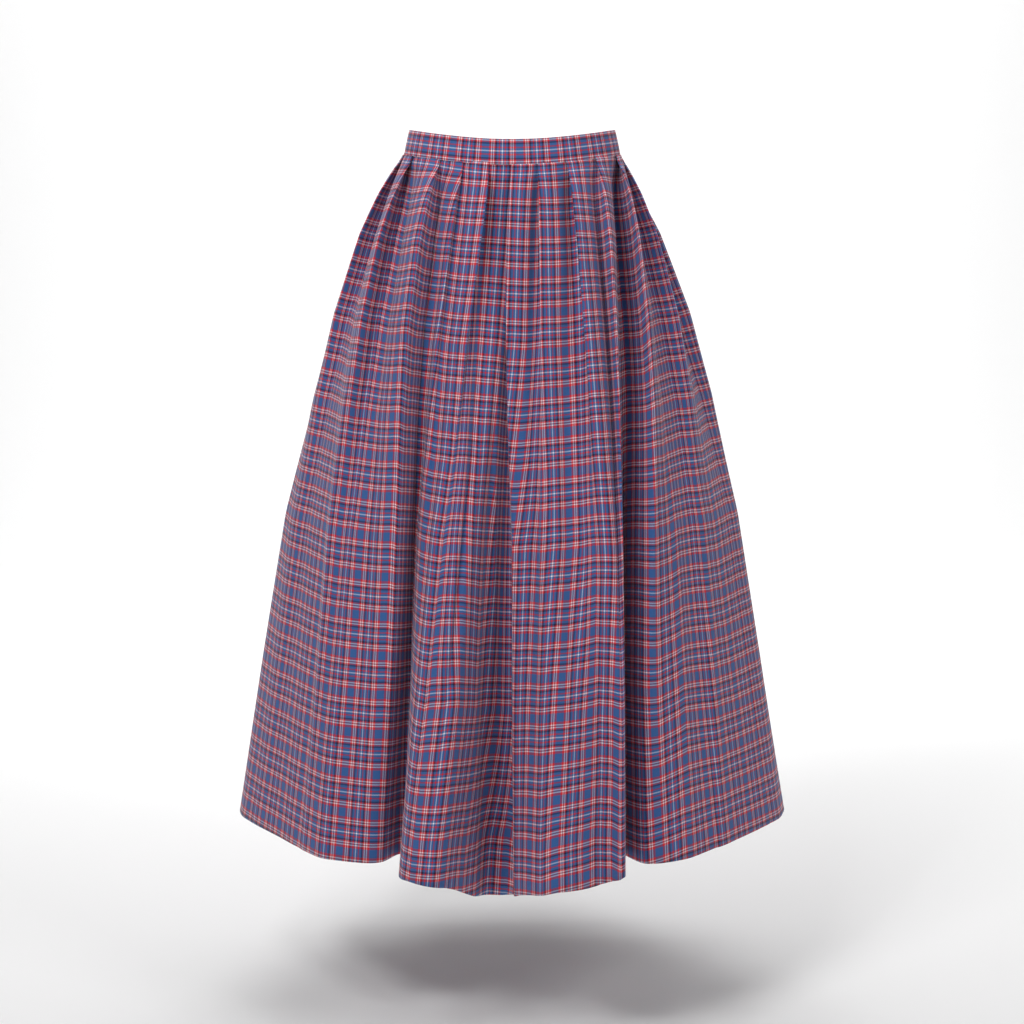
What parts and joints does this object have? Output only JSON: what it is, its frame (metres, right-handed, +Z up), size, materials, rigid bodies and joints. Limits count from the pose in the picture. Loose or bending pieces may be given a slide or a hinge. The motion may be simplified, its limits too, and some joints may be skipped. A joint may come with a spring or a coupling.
{
  "type": "full skirt",
  "caption": "Full checked midi skirt, filled out as worn: straight waistband, soft unpressed pleats all round, concealed zip at the centre back.",
  "frame": {"origin": "centre of the waist, level with the middle of the waistband at the sides, where the wearer's waist holds the skirt", "axes": "+Z up, -Y to the front of the skirt, +X to the right as seen from the front; the centre-back zip is on the +Y side"},
  "size_m": [0.6811, 0.5603, 0.8734],
  "materials": {
    "checked_cloth": "matte",
    "waistband_cloth": "matte",
    "zip_tape_cloth": "matte",
    "zip_metal": "satin"
  },
  "bodies": {
    "skirt": {"waistband": "waistband_cloth", "skirt_front": "checked_cloth", "skirt_back_left": "checked_cloth", "skirt_back_right": "checked_cloth", "zip_tape_left": "zip_tape_cloth", "zip_tape_right": "zip_tape_cloth", "zip_slider": "zip_metal"},
    "pull_tab": {"zip_pull": "zip_metal"}
  },
  "joints": [
    {"name": "pull_tab_hinge", "type": "hinge", "parent": "skirt", "child": "pull_tab", "pos_m": [0, 0.09829, 0.00072], "axis": [1, 0, 0], "range_deg": [0, 160]}
  ]
}
